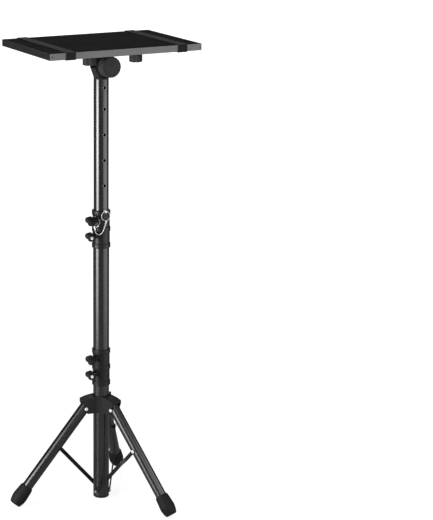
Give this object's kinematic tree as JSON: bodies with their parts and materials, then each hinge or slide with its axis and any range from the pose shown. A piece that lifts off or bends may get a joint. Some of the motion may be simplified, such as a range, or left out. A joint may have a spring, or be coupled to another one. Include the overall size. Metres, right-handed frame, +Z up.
{
  "type": "portable projector stand",
  "caption": "Free-standing tripod stand: folding braced legs, sliding mast with a lock pin, and a tilting board with straps that carries a projector or laptop.",
  "frame": {"origin": "centre of the pole's flat lower end, on the floor", "axes": "+Z up along the pole, -Y towards the tray's front, +X to the tray's right seen from the front"},
  "size_m": [0.4396, 0.4195, 1.1668],
  "materials": {
    "black_tube": "satin black paint",
    "black_steel": "satin black paint",
    "bright_steel": "bright plated steel",
    "black_plastic": "moulded, matte",
    "foot_rubber": "moulded, matte",
    "tray_board": "dark faced board",
    "edge_band": "satin grey edging",
    "webbing": "woven webbing"
  },
  "bodies": {
    "pole": {"pole_tube": "black_tube", "pole_end_cap": "black_plastic", "pole_rivets": "bright_steel", "upper_collar": "black_plastic", "safety_pin": "bright_steel", "pin_ring": "bright_steel", "boss_ring": "bright_steel", "lanyard": "bright_steel", "lanyard_ferrules": "bright_steel"},
    "leg_hub": {"hub_plate_front": "black_steel", "hub_plate_right": "black_steel", "hub_plate_rear": "black_steel", "hub_rivets": "bright_steel", "lower_collar": "black_plastic"},
    "leg_back": {"leg_back_tube": "black_tube", "leg_back_foot": "foot_rubber"},
    "brace_back": {"brace_back": "black_steel", "brace_back_rivet": "bright_steel"},
    "leg_left": {"leg_left_tube": "black_tube", "leg_left_foot": "foot_rubber"},
    "brace_left": {"brace_left": "black_steel", "brace_left_rivet": "bright_steel"},
    "leg_front": {"leg_front_tube": "black_tube", "leg_front_foot": "foot_rubber"},
    "brace_front": {"brace_front": "black_steel", "brace_front_rivet": "bright_steel"},
    "mast": {"mast_tube": "black_tube", "mast_head": "black_plastic", "tilt_bolt": "black_steel"},
    "tray": {"tray_board": "tray_board", "tray_edge_band": "edge_band", "mount_pan": "black_steel", "tilt_bracket": "black_steel", "tray_screws": "black_plastic", "strap_left": "webbing", "strap_right": "webbing"},
    "tilt_knob": {"tilt_knob": "black_plastic"},
    "upper_low_knob": {"upper_low_wing": "black_plastic", "upper_low_stud": "bright_steel"},
    "upper_high_knob": {"upper_high_wing": "black_plastic", "upper_high_stud": "bright_steel"},
    "lower_low_knob": {"lower_low_wing": "black_plastic", "lower_low_stud": "bright_steel"},
    "lower_high_knob": {"lower_high_wing": "black_plastic", "lower_high_stud": "bright_steel"}
  },
  "joints": [
    {"name": "hub_slide", "type": "slide", "parent": "pole", "child": "leg_hub", "axis": [0, 0, 1], "range_m": [0, 0.06257]},
    {"name": "leg_back_fold", "type": "hinge", "parent": "leg_hub", "child": "leg_back", "pos_m": [0.02678, 0.03567, 0.242], "axis": [-0.7997, 0.6004, 0], "range_deg": [0, 36.45]},
    {"name": "brace_back_fold", "type": "hinge", "parent": "pole", "child": "brace_back", "pos_m": [0, 0, 0.0165], "axis": [0.7997, -0.6004, 0], "range_deg": [0, 25.4]},
    {"name": "leg_left_fold", "type": "hinge", "parent": "leg_hub", "child": "leg_left", "pos_m": [-0.04428, 0.00536, 0.242], "axis": [-0.1201, -0.9928, 0], "range_deg": [0, 36.45]},
    {"name": "brace_left_fold", "type": "hinge", "parent": "pole", "child": "brace_left", "pos_m": [0, 0, 0.0165], "axis": [0.1201, 0.9928, 0], "range_deg": [0, 25.4]},
    {"name": "leg_front_fold", "type": "hinge", "parent": "leg_hub", "child": "leg_front", "pos_m": [0.0175, -0.04102, 0.242], "axis": [0.9198, 0.3923, 0], "range_deg": [0, 36.45]},
    {"name": "brace_front_fold", "type": "hinge", "parent": "pole", "child": "brace_front", "pos_m": [0, 0, 0.0165], "axis": [-0.9198, -0.3923, 0], "range_deg": [0, 25.4]},
    {"name": "mast_slide", "type": "slide", "parent": "pole", "child": "mast", "axis": [0, 0, 1], "range_m": [-0.316, 0]},
    {"name": "tray_tilt", "type": "hinge", "parent": "mast", "child": "tray", "pos_m": [0, 0, 1.1095], "axis": [0, 1, 0], "range_deg": [-45, 45]},
    {"name": "tilt_knob_turn", "type": "hinge", "parent": "mast", "child": "tilt_knob", "pos_m": [0, -0.0325, 1.1095], "axis": [0, -1, 0], "continuous": true},
    {"name": "upper_low_knob_turn", "type": "hinge", "parent": "pole", "child": "upper_low_knob", "pos_m": [-0.02488, -0.0116, 0.688], "axis": [-0.9063, -0.4226, 0], "continuous": true},
    {"name": "upper_high_knob_turn", "type": "hinge", "parent": "pole", "child": "upper_high_knob", "pos_m": [-0.02488, -0.0116, 0.7275], "axis": [-0.9063, -0.4226, 0], "continuous": true},
    {"name": "lower_low_knob_turn", "type": "hinge", "parent": "leg_hub", "child": "lower_low_knob", "pos_m": [-0.02488, -0.0116, 0.3325], "axis": [-0.9063, -0.4226, 0], "continuous": true},
    {"name": "lower_high_knob_turn", "type": "hinge", "parent": "leg_hub", "child": "lower_high_knob", "pos_m": [-0.02488, -0.0116, 0.372], "axis": [-0.9063, -0.4226, 0], "continuous": true}
  ],
  "couplings": [
    {"joint": "leg_back_fold", "follows": "hub_slide", "rad_per_m": 10.153},
    {"joint": "brace_back_fold", "follows": "hub_slide", "rad_per_m": 7.072},
    {"joint": "leg_left_fold", "follows": "hub_slide", "rad_per_m": 10.153},
    {"joint": "brace_left_fold", "follows": "hub_slide", "rad_per_m": 7.072},
    {"joint": "leg_front_fold", "follows": "hub_slide", "rad_per_m": 10.153},
    {"joint": "brace_front_fold", "follows": "hub_slide", "rad_per_m": 7.072}
  ]
}
